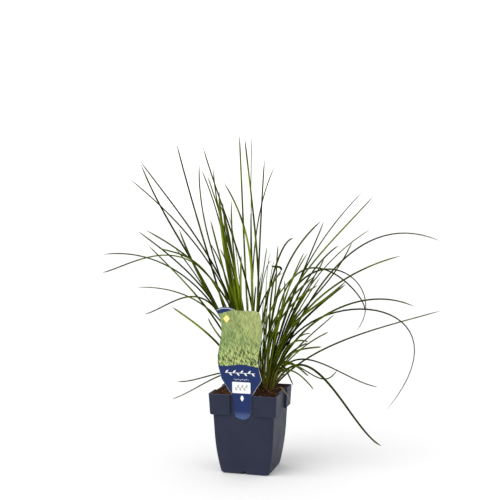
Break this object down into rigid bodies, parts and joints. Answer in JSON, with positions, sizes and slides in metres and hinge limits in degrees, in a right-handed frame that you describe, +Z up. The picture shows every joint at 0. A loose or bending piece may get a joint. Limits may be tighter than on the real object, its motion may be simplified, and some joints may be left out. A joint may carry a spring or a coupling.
{
  "type": "potted tufted hair grass",
  "caption": "Young clump of tufted hair grass with narrow arching leaves in a square dark nursery pot with corner pads and a picture label",
  "frame": {"origin": "middle of the pot's underside, on the surface that the pot stands on", "axes": "+Z up, -Y the front, where the label stands, +X to the right seen from the front"},
  "size_m": [0.5494, 0.232, 0.5431],
  "materials": {
    "pot": "satin",
    "compost": "matte",
    "leaf": "satin",
    "dry_leaf": "matte",
    "label": "gloss"
  },
  "bodies": {
    "root": {"pot": "pot", "compost": "compost", "tuft_upright": "leaf", "tuft_leaning": "leaf", "dry_leaf_over_rim": "dry_leaf", "dry_leaf_folded": "dry_leaf", "label": "label"}
  },
  "joints": []
}
